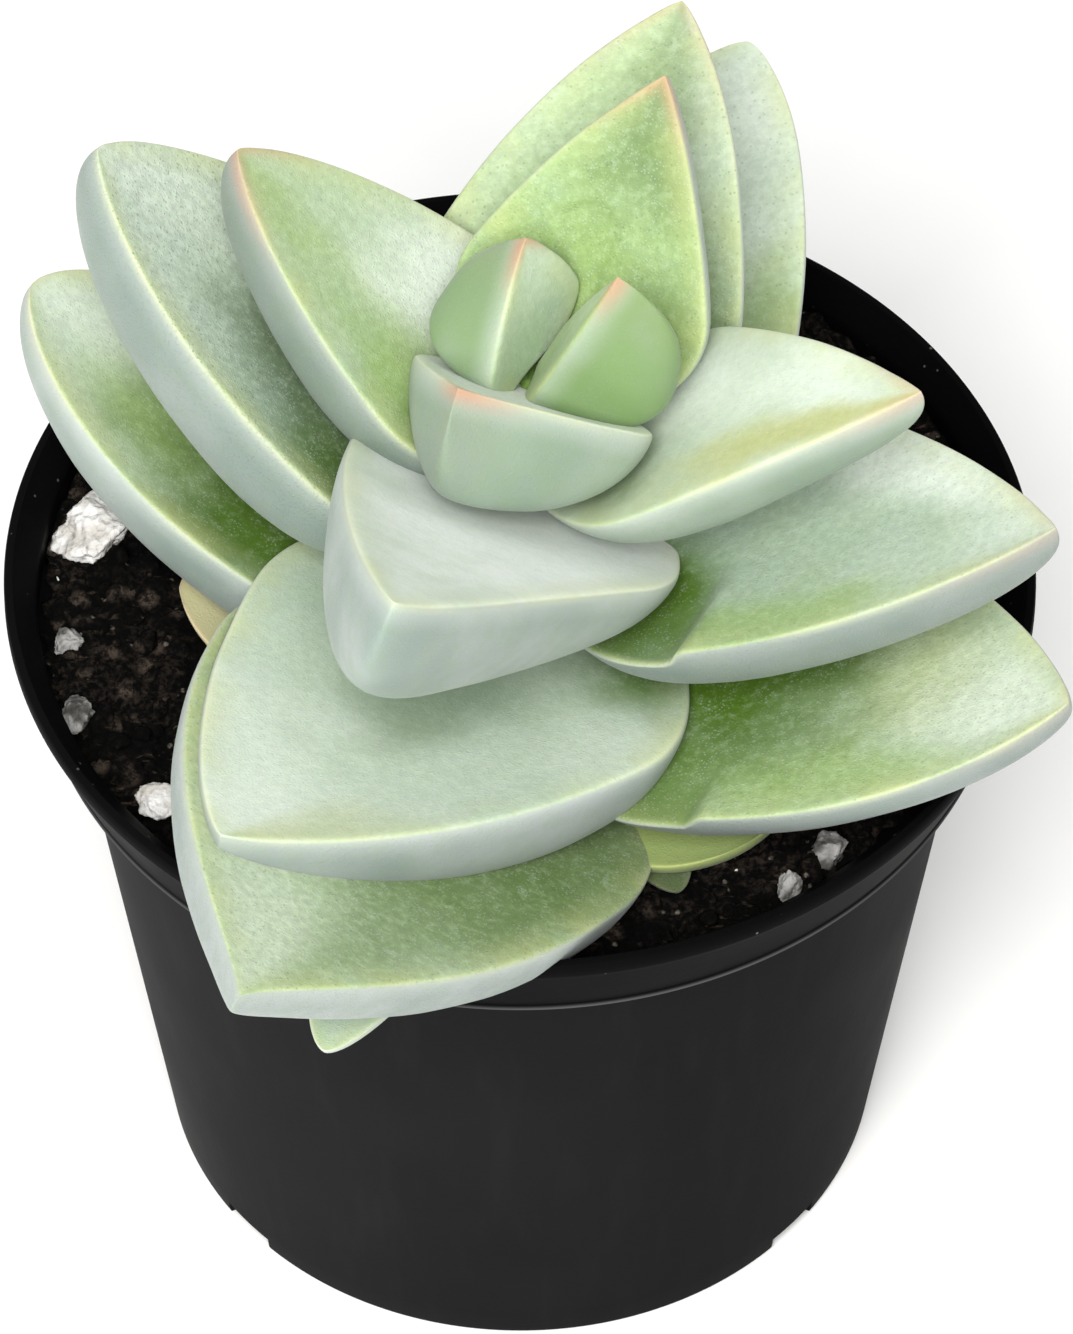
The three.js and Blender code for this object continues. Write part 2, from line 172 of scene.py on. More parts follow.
# Each leaf: where its midline leaves the stem, its bearing from +X, its lift at base and tip in degrees,
# length, half width, keel depth, roll in degrees, the two exponents of its outline, how boxy its section is
# at the base, and the sideways bend at its tip
Leaf = namedtuple("Leaf", "node bearing lifts length half depth roll outline boxy bend")
LEAVES = {
    "leaf_apex_right": Leaf((-1, 0, 108), -23, (66, 61), 20, 6, 14.5, -5, (1.8, 0.9), 4, -1.5),
    "leaf_apex_left": Leaf((3.5, 0, 108.5), 146, (92, 56), 14, 9.5, 13, -1, (1.8, 0.85), 4, 3.5),
    "leaf_back_1": Leaf((2.5, 0, 104), 64, (51, 52), 34, 16, 9, -2, (1.5, 0.9), 4, 2),
    "leaf_front_1": Leaf((4.5, 0.9, 106.8), -118, (42, 44), 21.5, 15, 9.5, -2, (1.75, 1.05), 4, 2.5),
    "leaf_front_2": Leaf((8.6, 5.3, 88.5), -124, (38, 37), 69, 22, 7.7, 2.5, (1.35, 0.75), 6, -13.5),
    "leaf_left_1": Leaf((4, 0, 100), 155, (35, 41), 42, 17, 12.5, -9, (1.85, 0.75), 4, -0.5),
    "leaf_right_1": Leaf((3.5, -0.5, 99), -24, (41, 26), 44.5, 15.5, 10, -4, (1.7, 0.9), 4, -0.5),
    "leaf_back_2": Leaf((1, 0.5, 96), 71, (35, 25), 47.5, 19, 9, 1, (1.9, 0.8), 6, 1.5),
    "leaf_left_2": Leaf((4, 1.5, 90.5), 158, (22, 46), 57, 23, 15, -13, (2.05, 0.7), 6, -2),
    "leaf_right_2": Leaf((4, 0, 89.5), -26, (16, 31), 57, 21.5, 10.5, 1, (2.05, 0.9), 6, 0),
    "leaf_back_3": Leaf((3, 0, 85), 69, (16, 11), 58.5, 19.5, 8, 2, (1.95, 0.65), 7, -0.5),
    "leaf_front_3": Leaf((5.4, -1, 82.5), -120.5, (13, 22), 64.5, 25.5, 15, 3.5, (1.95, 0.8), 7, 2.5),
    "leaf_left_3": Leaf((3, 0, 82.5), 158, (-2, 37), 58, 21.5, 13, -7, (2.15, 0.6), 7, -1),
    "leaf_right_3": Leaf((3, -4.5, 83.5), -29, (-6, 33), 59.5, 25.5, 8.5, -5, (1.85, 0.8), 7, 0.5),
    "leaf_front_5": Leaf((2, -1, 71.5), -108, (12, 7), 67, 10.5, 5.5, 0, (2.2, 0.6), 5, 0),
    "leaf_front_4": Leaf((1.8, -3, 71), -114, (25, 23.5), 86, 26, 16, 17.5, (3.3, 1.3), 7, -4.5),
    "leaf_left_4": Leaf((3, -1, 72), 180, (4, 12), 36, 13, 5, 0, (5, 0.6), 4, 0),
    "leaf_right_4": Leaf((3, -1, 70), -59, (4, 10), 35.5, 12.5, 7, -3, (7, 0.5), 4, 0),
    "leaf_sprout": Leaf((3, -1, 69.5), -70, (3, 4), 36, 5.5, 3.5, 0, (4, 0.6), 3, 0),
}

# How wide a leaf is where it clasps the stem and how its keel tapers, where that differs from the rest
CLASPING = {"leaf_front_1": 0.6, "leaf_front_2": 0.45}
TAPERING = {"leaf_front_1": -0.4, "leaf_front_2": -1.2, "leaf_front_3": 0.3, "leaf_front_4": 0.5}

# Marks left by a neighbour that once pressed on a face: how far along the leaf the sunk part reaches at its
# middle and what shape it has, in millimetres
STEPS = {
    "leaf_right_2": {"reach": 19.6, "slope": 0.05, "from": 8, "fade": 7, "depth": 1.3},
    "leaf_right_3": {"reach": 23.2, "slope": 0.1, "from": 15, "fade": 5, "depth": 1.2},
}
STEP_SOFTNESS = 0.9
STEP_MARGIN = 2.5
ARCH = {"leaf": "leaf_back_1", "middle": -1.9, "reach": 16.3, "radius": 3.3, "depth": 0.35}
ARCH_SOFTNESS = 0.55
ARCH_MARGIN = 1

# Perlite lumps: centre and the three half sizes, and how a ball is chipped into them
PERLITE = {
    "perlite_1": ((-43.5, 10, 73.8), (4.2, 4, 2.8)),
    "perlite_2": ((-46, -4, 72.2), (1.6, 1.9, 1.2)),
    "perlite_3": ((-45, -13.5, 71.8), (1.8, 2.6, 1.6)),
    "perlite_4": ((-36.5, -24.5, 71.2), (2.8, 2.1, 1.6)),
    "perlite_5": ((31, -30.5, 70.9), (2, 2.2, 1.7)),
    "perlite_6": ((27, -35, 70.4), (1.5, 1.9, 1.4)),
}
# Lumps darkened partly by soil stains and partly by painted shade, as they lie in shadow
STAINED_AND_SHADED = ("perlite_2", "perlite_3", "perlite_5", "perlite_6")
LUMP_SEED = 31
LUMP_FLATS = 16
FLAT_AWAY = (0.62, 0.92)
FLAT_FACING = 0.05
LUMP_REACH = 1.12
LUMP_ROUGHNESS = {"height": 0.16, "pitch": 2.2, "apart": (5.3, 2.1), "fractal": (0.8, 2.1, 5)}
LUMP_SPLITS = 5

# Each leaf's look from 0 to 1: how yellow-green its face is, how strong the painted shade on its base is,
# how pink its tip is, how speckled it is, how pale its face is, how green its sides are and how much
# painted shade darkens them
Look = namedtuple("Look", "yellow deep blush speckle pale green dim")
LOOKS = {
    "leaf_apex_right": Look(0.7, 0.3, 0.75, 0.2, 0.1, 1, 0.2),
    "leaf_apex_left": Look(0.35, 0.1, 0.75, 0.2, 0.5, 0.8, 0),
    "leaf_back_1": Look(0.8, 0.1, 0.6, 0.55, 0, 0.4, 0.3),
    "leaf_front_1": Look(0.3, 0, 0.8, 0.25, 1, 0.35, 0),
    "leaf_front_2": Look(0.05, 0, 0, 0.05, 1, 0.1, 0),
    "leaf_left_1": Look(0.6, 0.1, 0.5, 0.45, 0.3, 0.2, 0.9),
    "leaf_right_1": Look(0.35, 0.1, 0.4, 0.15, 0.95, 0.3, 0),
    "leaf_back_2": Look(0.55, 0.15, 0.3, 0.6, 0.45, 0.2, 0),
    "leaf_left_2": Look(0.1, 0.9, 0, 0.9, 0.45, 0.1, 0.5),
    "leaf_right_2": Look(0.1, 0.3, 0.2, 0.45, 0.4, 0.05, 1),
    "leaf_back_3": Look(0.15, 0.3, 0, 0.5, 0.9, 0.2, 0),
    "leaf_front_3": Look(0.15, 0.2, 0, 0.25, 0.85, 0, 0),
    "leaf_left_3": Look(0.6, 0.9, 0.1, 0.45, 0.5, 0.1, 0.1),
    "leaf_right_3": Look(0.65, 0.8, 0.1, 0.55, 0.4, 0, 1),
    "leaf_front_5": Look(0.1, 0.3, 0, 0.3, 0.6, 0, 0),
    "leaf_front_4": Look(0.85, 0.6, 0, 0.8, 0.35, 0.05, 0.4),
    "leaf_left_4": Look(0.9, 0.3, 0.6, 0.2, 0.2, 0.5, 0),
    "leaf_right_4": Look(0.9, 0.6, 0.2, 0.3, 0.2, 0.5, 0),
    "leaf_sprout": Look(1, 1, 0, 0.5, 0, 1, 0.3),
}

# Soft patches on the faces: share of the length and of the half width at the middle of the patch, its two
# radii as shares, its colour and how strong it is. The white patches and some pale ones are painted light
# that lifts the shade under the leaves above; the vivid and deep ones are partly painted shade where
# neighbours shade a face
Patch = namedtuple("Patch", "along aside long wide paint strength")
PATCHES = {
    "leaf_apex_right": (Patch(0.7, 0.4, 0.5, 0.8, "fresh", 0.6),),
    "leaf_front_1": (Patch(0.1, 0, 0.6, 1.6, "white", 1),),
    "leaf_front_2": (Patch(0.2, -0.3, 0.8, 1.6, "white", 1),),
    "leaf_left_1": (
        Patch(0.38, 0.45, 0.3, 0.9, "pale", 0.9),
        Patch(0.35, -0.5, 0.25, 0.6, "fresh", 0.8),
        Patch(0.85, -0.3, 0.3, 0.7, "fresh", 0.6),
        Patch(0.12, -0.8, 0.22, 0.6, "vivid", 1),
    ),
    "leaf_left_2": (
        Patch(0.45, -0.3, 0.25, 0.5, "deep", 0.8),
        Patch(0.24, -0.75, 0.28, 0.6, "vivid", 0.9),
        Patch(1, 0.3, 0.3, 1, "pale", 0.5),
    ),
    "leaf_left_3": (
        Patch(0.68, -0.3, 0.22, 0.5, "fresh", 0.8),
        Patch(0.38, -0.45, 0.42, 1, "vivid", 1),
        Patch(1, 0.2, 0.28, 1, "pale", 0.6),
    ),
    "leaf_right_1": (
        Patch(0.72, 0.5, 0.4, 0.55, "yellow", 1),
        Patch(0.34, -0.35, 0.25, 0.6, "pale", 0.9),
        Patch(0.15, 0.4, 0.16, 0.6, "vivid", 0.6),
    ),
    "leaf_right_2": (
        Patch(0.62, -0.8, 0.32, 0.5, "pale", 1),
        Patch(0.95, -0.2, 0.2, 1, "pale", 0.5),
        Patch(0.52, 0.8, 0.3, 0.45, "fresh", 0.8),
        Patch(0.22, 0.6, 0.17, 0.8, "vivid", 1),
    ),
    "leaf_right_3": (
        Patch(0.7, -0.2, 0.2, 0.6, "yellow", 0.4),
        Patch(0.9, -0.1, 0.25, 1, "pale", 0.7),
        Patch(0.6, 0.75, 0.25, 0.4, "fresh", 0.7),
        Patch(0.35, 0, 0.28, 0.9, "vivid", 1),
    ),
    "leaf_back_1": (
        Patch(0.9, 0.3, 0.5, 1.3, "deep", 0.6),
        Patch(0.35, 0, 0.3, 1, "fresh", 0.5),
    ),
    "leaf_back_2": (
        Patch(0.3, 0.8, 0.25, 0.5, "vivid", 0.5),
        Patch(0.9, 0.2, 0.25, 0.7, "deep", 0.5),
        Patch(0.75, -0.3, 0.4, 1, "fresh", 0.4),
    ),
    "leaf_back_3": (Patch(0.45, 0.8, 0.25, 0.5, "fresh", 0.7),),
    "leaf_front_3": (
        Patch(0.95, 0.3, 0.3, 1, "pale", 0.7),
        Patch(0.9, -0.5, 0.25, 0.4, "yellow", 0.4),
        Patch(0.34, -0.9, 0.18, 0.4, "pale", 0.4),
        Patch(0.1, -0.7, 0.16, 0.5, "vivid", 0.9),
        Patch(0.42, 0, 0.18, 0.45, "deep", 0.4),
    ),
    "leaf_front_4": (
        Patch(0.55, -0.5, 0.4, 0.7, "vivid", 0.6),
        Patch(0.9, 0.3, 0.3, 0.8, "pale", 0.4),
        Patch(0.3, -0.6, 0.3, 0.8, "vivid", 0.5),
    ),
}
PATCH_EDGE = (-0.25, 0.65)


# Small helpers


def linear(code):
    """A colour code such as #a0b0c0 as linear red, green, blue and alpha."""
    parts = [int(code[i : i + 2], 16) / 255 for i in (1, 3, 5)]
    return [((p + 0.055) / 1.055) ** 2.4 if p > 0.04045 else p / 12.92 for p in parts] + [1]


def leaf_colour(code, tone):
    """A colour as it looks beside the white floor, made darker for the strong light."""
    return [part * tone for part in linear(code)[:3]] + [1]


def smooth(low, high, value):
    share = np.clip((value - low) / (high - low), 0, 1)
    return share * share * (3 - 2 * share)


def between(pair, share):
    """The number at a share of the way from the pair's first number to its second."""
    return pair[0] + (pair[1] - pair[0]) * share


def link(made):
    bpy.context.scene.collection.objects.link(made)
    return made


def mesh_object(name, points, faces, material, attributes=None):
    """A smooth mesh object from points in millimetres."""
    mesh = bpy.data.meshes.new(name)
    mesh.from_pydata((np.asarray(points) * MM).tolist(), [], faces)
    mesh.validate()
    for key, values in (attributes or {}).items():
        layer = mesh.attributes.new(key, "FLOAT", "POINT")
        layer.data.foreach_set("value", np.asarray(values, dtype=np.float32))
    mesh.polygons.foreach_set("use_smooth", [True] * len(mesh.polygons))
    mesh.materials.append(material)
    return link(bpy.data.objects.new(name, mesh))


def ball(name, splits):
    """A mesh of radius 1, from an icosahedron whose faces are split in four again and again."""
    shape = bmesh.new()
    bmesh.ops.create_icosphere(shape, subdivisions=splits, radius=1)
    mesh = bpy.data.meshes.new(name)
    shape.to_mesh(mesh)
    shape.free()
    return mesh


def dress(piece, slot, *nodes):
    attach(piece, BODY)
    if nodes:
        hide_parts(*nodes)


# Material nodes


class Shade:
    """A material's node tree, built with short calls."""

    def __init__(self, name, inputs):
        self.material = bpy.data.materials.new(name)
        self.material.use_nodes = True
        self.nodes = self.material.node_tree.nodes
        self.links = self.material.node_tree.links
        self.shader = self.nodes["Principled BSDF"]
        for key, value in inputs.items():
            self.shader.inputs[key].default_value = value
        self.place = self.nodes.new("ShaderNodeTexCoord").outputs["Object"]

    def put(self, socket, value):
        if isinstance(value, bpy.types.NodeSocket):
            self.links.new(value, socket)
        else:
            socket.default_value = value

    def attribute(self, name):
        made = self.nodes.new("ShaderNodeAttribute")
        made.attribute_name = name
        return made.outputs["Fac"]

    def axes(self):
        """The place along X, Y and Z in metres."""
        made = self.nodes.new("ShaderNodeSeparateXYZ")
        self.links.new(self.place, made.inputs[0])
        return made.outputs

    def maths(self, operation, first, second=0.0, clamp=False):
        made = self.nodes.new("ShaderNodeMath")
        made.operation = operation
        made.use_clamp = clamp
        self.put(made.inputs[0], first)
        self.put(made.inputs[1], second)
        return made.outputs[0]

    def product(self, first, *others):
        for other in others:
            first = self.maths("MULTIPLY", first, other)
        return first

    def span(self, value, low, high, to_low=0.0, to_high=1.0):
        """The value's smooth rise from to_low at low to to_high at high."""
        made = self.nodes.new("ShaderNodeMapRange")
        made.interpolation_type = "SMOOTHSTEP"
        for socket, number in zip(made.inputs, (value, low, high, to_low, to_high)):
            self.put(socket, number)
        return made.outputs[0]

    def mix(self, share, first, second, blend="MIX"):
        made = self.nodes.new("ShaderNodeMix")
        made.data_type = "RGBA"
        made.blend_type = blend
        self.put(made.inputs[0], share)
        self.put(made.inputs[6], first)
        self.put(made.inputs[7], second)
        return made.outputs[2]

    def noise(self, size, detail, roughness=0.55, stretch=None):
        """Noise whose features are about the given size in millimetres."""
        made = self.nodes.new("ShaderNodeTexNoise")
        made.inputs["Scale"].default_value = 1 / (size * MM)
        made.inputs["Detail"].default_value = detail
        made.inputs["Roughness"].default_value = roughness
        place = self.place
        if stretch is not None:
            mapping = self.nodes.new("ShaderNodeMapping")
            mapping.inputs["Scale"].default_value = stretch
            self.links.new(place, mapping.inputs["Vector"])
            place = mapping.outputs[0]
        self.links.new(place, made.inputs["Vector"])
        return made.outputs["Fac"]

    def cells(self, size):
        """Cell distances and cell colours, with cells of about the given size in millimetres."""
        made = self.nodes.new("ShaderNodeTexVoronoi")
        made.inputs["Scale"].default_value = 1 / (size * MM)
        self.links.new(self.place, made.inputs["Vector"])
        return made.outputs

    def chosen(self, cells, factor, low, high):
        """How much each cell is chosen, by a number from 0 to 1 made from its colour."""
        number = self.maths("FRACT", self.product(cells["Color"], factor))
        return self.span(number, low, high)

    def patch(self, along, aside, rough, spot):
        """The share of a soft patch with an uneven edge."""
        first = self.maths("DIVIDE", self.maths("SUBTRACT", along, spot.along), spot.long)
        second = self.maths("DIVIDE", self.maths("SUBTRACT", aside, spot.aside), spot.wide)
        squares = self.maths("ADD", self.product(first, first), self.product(second, second))
        away = self.maths("SUBTRACT", self.maths("SQRT", squares), rough)
        return self.span(away, *PATCH_EDGE, spot.strength, 0)

    def bump(self, height, depth, normal=None):
        """A bump of the given depth in millimetres."""
        made = self.nodes.new("ShaderNodeBump")
        made.inputs["Distance"].default_value = depth * MM
        self.put(made.inputs["Height"], height)
        if normal is not None:
            self.links.new(normal, made.inputs["Normal"])
        return made.outputs[0]

    def finish(self, colour, normal=None, roughness=None):
        self.put(self.shader.inputs["Base Color"], colour)
        if normal is not None:
            self.links.new(normal, self.shader.inputs["Normal"])
        if roughness is not None:
            self.put(self.shader.inputs["Roughness"], roughness)
        return self.material


# In the material settings below, a ramp is its lowest and highest input, then the output at both, which is
# 0 and 1 where left out. A noise is its feature size in millimetres, its detail and its roughness.

# Leaf colours: those of the upper face, of the sides and of marks on both
# Face and side tones: the sides are kept darker than the faces partly as painted shade, for how the light
# falls on them
FACE_TONE = 0.74
PALE_TONE = 0.95
SIDE_TONE = 0.55
DEEP_TONE = 0.42
SAGE = leaf_colour("#b0cbad", FACE_TONE)
FRESH = leaf_colour("#a6c574", FACE_TONE)
PALE_FACE = leaf_colour("#dbe6d8", PALE_TONE)
WHITE_PAINTED_LIGHT = leaf_colour("#eef4ef", 1)
YELLOW = leaf_colour("#cfd795", FACE_TONE)
# Deep and vivid greens: partly the leaves' own green, partly painted shade on bases and hollows that
# neighbours shade
DEEP = leaf_colour("#7da362", DEEP_TONE)
VIVID_SHADE_GREEN = leaf_colour("#6c9a1c", DEEP_TONE)
SHADE_BLUE_GREEN = leaf_colour("#769b7f", FACE_TONE)
GREY_GREEN = leaf_colour("#8fb0a0", FACE_TONE)
BAND = leaf_colour("#c6d1cf", SIDE_TONE)
BAND_SHADE = leaf_colour("#a8b9b5", SIDE_TONE)
BAND_GREEN = leaf_colour("#aec3a4", SIDE_TONE)
YOUNG_GREEN = leaf_colour("#9dc27c", SIDE_TONE)
SIDE_SHADE_COLOUR = leaf_colour("#54685c", SIDE_TONE)
MARGIN = leaf_colour("#dae19d", FACE_TONE)
MARGIN_LINE = leaf_colour("#edf0c4", FACE_TONE)
BLUSH = leaf_colour("#d58f70", FACE_TONE)
SPECK = leaf_colour("#5d8748", SIDE_TONE)
BLOOM = leaf_colour("#e6ede8", FACE_TONE)
# White is painted light; vivid and deep are partly painted shade
PAINTS = {
    "white": WHITE_PAINTED_LIGHT,
    "pale": PALE_FACE,
    "fresh": FRESH,
    "vivid": VIVID_SHADE_GREEN,
    "deep": DEEP,
    "yellow": YELLOW,
}
OLD_LEAVES = {
    "leaf_left_4": leaf_colour("#e8dcae", FACE_TONE),
    "leaf_right_4": leaf_colour("#a9bd62", FACE_TONE),
    # The sprout's near-black green is partly painted shade, as it lies in shadow under the lower leaves
    "leaf_sprout": leaf_colour("#1e2b14", SIDE_TONE),
}
OLD_STRENGTH = 0.75

# Leaf skin: fixed inputs, noises and how rough it is
LEAF_INPUTS = {
    "Subsurface Weight": 0.2,
    "Subsurface Scale": 0.003,
    "Subsurface Radius": (0.5, 1.0, 0.35),
    "Specular IOR Level": 0.35,
    "Sheen Weight": 0.1,
    "Sheen Roughness": 0.5,
}
PATCH_NOISE = (9, 2)
CLOUD_NOISE = (17, 2)
MOTTLE_NOISE = (2.2, 4)
FROST_NOISE = (1, 4, 0.65)
GRAIN_NOISE = (0.35, 2)
LEAF_GLOSS = (0.3, 0.7, 0.46, 0.6)

# Leaf face
LEAN_REACH = 0.9
FACE_MOTTLE = (0.45, 0.75, 0, 0.2)
PALE_ALONG = (0.1, 0.8, 0.6, 1)
PALE_CLOUDS = (0.25, 0.7, 0.55, 1)
SHADE_LEAN = 1.5
SHADE_ALONG = (0.2, 0.8, 1, 0)
SHADE_CLOUDS = (0.3, 0.6, 0.6, 1)
SHADE_STRENGTH = 0.85
FROST = (0.5, 0.7)
FROST_STRENGTH = (0.05, 0.15)
GRAIN = (0.3, 0.7)
GRAIN_DARK = (0.97, 0.82)
GRAIN_LIGHT = (1.03, 1.13)
ZONE_ACROSS = (0.2, 5, 0.45, 0)
ZONE_PATCHES = (0.35, 0.65, 0.2, 1)
SUNK_SHADE_STRENGTH = 0.5

# Leaf sides
SIDE_CLOUDS = (0.35, 0.65)
SIDE_MOTTLE = (0.4, 0.7, 0, 0.3)
YOUNG_PATCHES = (0.25, 0.6, 0.75, 1)
SIDE_BLOOM = (0.2, 3.5, 0.3, 0)
SIDE_SHADE_STRENGTH = 0.4

# Leaf marks: the line on the margin, dark and pale dots, and the pink tip
LINE_ACROSS = (0.1, 1.3, 1, 0)
LINE_CLOUDS = (0.35, 0.65, 0.05)
LINE_STRENGTH = 0.35
APEX_LINE_STRENGTH = 0.1
DARK_CELLS = 0.5
DARK_CHOICE = (7, 0.62, 0.8)
DARK_DOTS = (0.16, 0.36, 1, 0)
DARK_STRENGTH = 0.5
PALE_CELLS = 0.36
PALE_DOTS = (0.12, 0.4, 1, 0)
PALE_MOTTLE = (0.35, 0.6)
PALE_ON_SIDES = 0.05
PALE_ON_FACE = (0.1, 0.4)
PINK_ALONG = (0.72, 1)
PINK_ACROSS = (0.2, 2.4, 1, 0.06)
PINK_STRENGTH = 0.85

# Leaf bumps: their heights in millimetres
PIMPLES = (0, 0.5, 1, 0)
PIMPLE_HEIGHT = (0.015, 0.065)
GRAIN_HEIGHT = 0.03
MOTTLE_HEIGHT = 0.05


def leaf_material(name):
    """A leaf's skin: its face, its sides and what lies on both."""
    look = LOOKS[name]
    shade = Shade(name, LEAF_INPUTS)
    along, edge, upper = (shade.attribute(key) for key in ("along", "edge", "upper"))
    from_margin = shade.maths("ABSOLUTE", edge)
    patches = shade.noise(*PATCH_NOISE)
    clouds = shade.noise(*CLOUD_NOISE)
    mottle = shade.noise(*MOTTLE_NOISE)
    face = leaf_face(shade, name, along, edge, patches, clouds, mottle)
    side = leaf_side(shade, look, from_margin, patches, clouds, mottle)
    colour = shade.mix(upper, side, face)
    strongest = APEX_LINE_STRENGTH if name.startswith("leaf_apex") else LINE_STRENGTH
    line = shade.product(shade.span(from_margin, *LINE_ACROSS), shade.span(clouds, *LINE_CLOUDS, strongest))
    colour = shade.mix(line, colour, MARGIN_LINE)

    # Dark dots and pale dots, denser on rough faces
    cells = shade.cells(DARK_CELLS)
    dark = shade.product(shade.span(cells["Distance"], *DARK_DOTS), shade.chosen(cells, *DARK_CHOICE))
    dark = shade.product(dark, upper, DARK_STRENGTH * look.speckle)
    colour = shade.mix(dark, colour, SPECK)
    cells = shade.cells(PALE_CELLS)
    on_skin = shade.span(upper, 0, 1, PALE_ON_SIDES, between(PALE_ON_FACE, look.speckle))
    light = shade.product(shade.span(cells["Distance"], *PALE_DOTS), shade.span(mottle, *PALE_MOTTLE))
    colour = shade.mix(shade.product(light, on_skin), colour, BLOOM)

    # The tip and the margins next to it turn pink
    pink = shade.product(shade.span(along, *PINK_ALONG), shade.span(from_margin, *PINK_ACROSS))
    colour = shade.mix(shade.product(pink, PINK_STRENGTH * look.blush), colour, BLUSH)
    if name in OLD_LEAVES:
        colour = shade.mix(OLD_STRENGTH, colour, OLD_LEAVES[name])

    # Fine pimples over gentle waves
    pimples = shade.span(cells["Distance"], *PIMPLES)
    normal = shade.bump(pimples, between(PIMPLE_HEIGHT, look.speckle))
    normal = shade.bump(shade.noise(*GRAIN_NOISE), GRAIN_HEIGHT, normal)
    normal = shade.bump(mottle, MOTTLE_HEIGHT, normal)
    return shade.finish(colour, normal, shade.span(mottle, *LEAF_GLOSS))


def leaf_face(shade, name, along, edge, patches, clouds, mottle):
    """The upper face: yellow-green in patches, paler to the tip, deep green painted shade at the base,
    yellowish margins.
    """
    look = LOOKS[name]
    lean = shade.maths("ADD", shade.product(patches, LEAN_REACH), look.yellow - LEAN_REACH / 2, clamp=True)
    face = shade.mix(lean, SAGE, FRESH)
    face = shade.mix(shade.span(mottle, *FACE_MOTTLE), face, GREY_GREEN)
    whiter = shade.product(shade.span(along, *PALE_ALONG), shade.span(clouds, *PALE_CLOUDS), look.pale)
    face = shade.mix(whiter, face, PALE_FACE)
    # Painted shade: the base of the face, where the leaves above shade it, turns deep green
    shaded = shade.mix(min(1, look.yellow * SHADE_LEAN), SHADE_BLUE_GREEN, VIVID_SHADE_GREEN)
    base = shade.product(shade.span(along, *SHADE_ALONG), shade.span(clouds, *SHADE_CLOUDS))
    face = shade.mix(shade.product(base, look.deep * SHADE_STRENGTH), face, shaded)
    aside = shade.attribute("aside")
    for patch in PATCHES.get(name, ()):
        face = shade.mix(shade.patch(along, aside, patches, patch), face, PAINTS[patch.paint])
    frost = shade.noise(*FROST_NOISE)
    face = shade.mix(shade.span(frost, *FROST, 0, between(FROST_STRENGTH, look.speckle)), face, BLOOM)
    grain = (between(pair, look.speckle) for pair in (GRAIN_DARK, GRAIN_LIGHT))
    face = shade.mix(1, face, shade.span(frost, *GRAIN, *grain), "MULTIPLY")
    zone = shade.product(shade.span(edge, *ZONE_ACROSS), shade.span(patches, *ZONE_PATCHES))
    face = shade.mix(zone, face, MARGIN)
    # Painted shade: the sunk part of an imprint is painted vivid green, as it lies in shadow below the
    # raised face
    if name in STEPS:
        face = shade.mix(shade.product(shade.attribute("sunk"), SUNK_SHADE_STRENGTH), face, VIVID_SHADE_GREEN)
    return face


def leaf_side(shade, look, from_margin, patches, clouds, mottle):
    """The sides and the underside: pale blue-grey with bloom, or green on a young leaf, darkened by painted
    shade on some leaves.
    """
    side = shade.mix(shade.span(clouds, *SIDE_CLOUDS), BAND, BAND_SHADE)
    side = shade.mix(shade.span(mottle, *SIDE_MOTTLE), side, BAND_GREEN)
    side = shade.mix(shade.product(shade.span(patches, *YOUNG_PATCHES), look.green), side, YOUNG_GREEN)
    side = shade.mix(shade.span(from_margin, *SIDE_BLOOM), side, BLOOM)
    # Painted shade: the sides of some leaves are darkened for how the light falls on them
    return shade.mix(SIDE_SHADE_STRENGTH * look.dim, side, SIDE_SHADE_COLOUR)


# Leaf surface

Row = namedtuple("Row", "along points signed upper sunk aside middle normal")


def leaf_rows(name):
    """The leaf's rows of points from its base to near its tip."""
    leaf = LEAVES[name]
    roll, low, high = map(math.radians, (leaf.roll, *leaf.lifts))
    outward, sideways, up = leaf_axes(leaf)
    rows = []
    for row in range(LEAF_ROWS):
        along = math.sin(row / LEAF_ROWS * math.pi / 2)
        lift = low + (high - low) * along
        middle = leaf_middle(leaf, along)
        tangent = math.cos(lift) * outward + math.sin(lift) * up
        side = math.cos(roll) * sideways - math.sin(roll) * np.cross(tangent, sideways)
        normal = np.cross(side, tangent)
        across, height, signed, upper = leaf_section(name, along)
        sunk = imprint(name, along * leaf.length, across, signed)
        points = middle + across[:, None] * side + (height - sunk)[:, None] * normal
        aside = across / np.abs(across).max()
        rows.append(Row(along, points, signed, upper, sunk, aside, middle, normal))
    return rows


def leaf_axes(leaf):
    """The leaf's directions outwards, sideways and up."""
    bearing = math.radians(leaf.bearing)
    outward = np.array([math.cos(bearing), math.sin(bearing), 0])
    sideways = np.array([math.sin(bearing), -math.cos(bearing), 0])
    return outward, sideways, np.array([0, 0, 1])


def leaf_middle(leaf, along):
    """The point of the leaf's midline at a share of its length: an arc that also bends sideways."""
    outward, sideways, up = leaf_axes(leaf)
    low, high = map(math.radians, leaf.lifts)
    lift = low + (high - low) * along
    arc = leaf.length / (high - low)
    reach = BASE_START + arc * (math.sin(lift) - math.sin(low))
    rise = arc * (math.cos(low) - math.cos(lift))
    return np.array(leaf.node) + reach * outward + leaf.bend * along**2 * sideways + rise * up


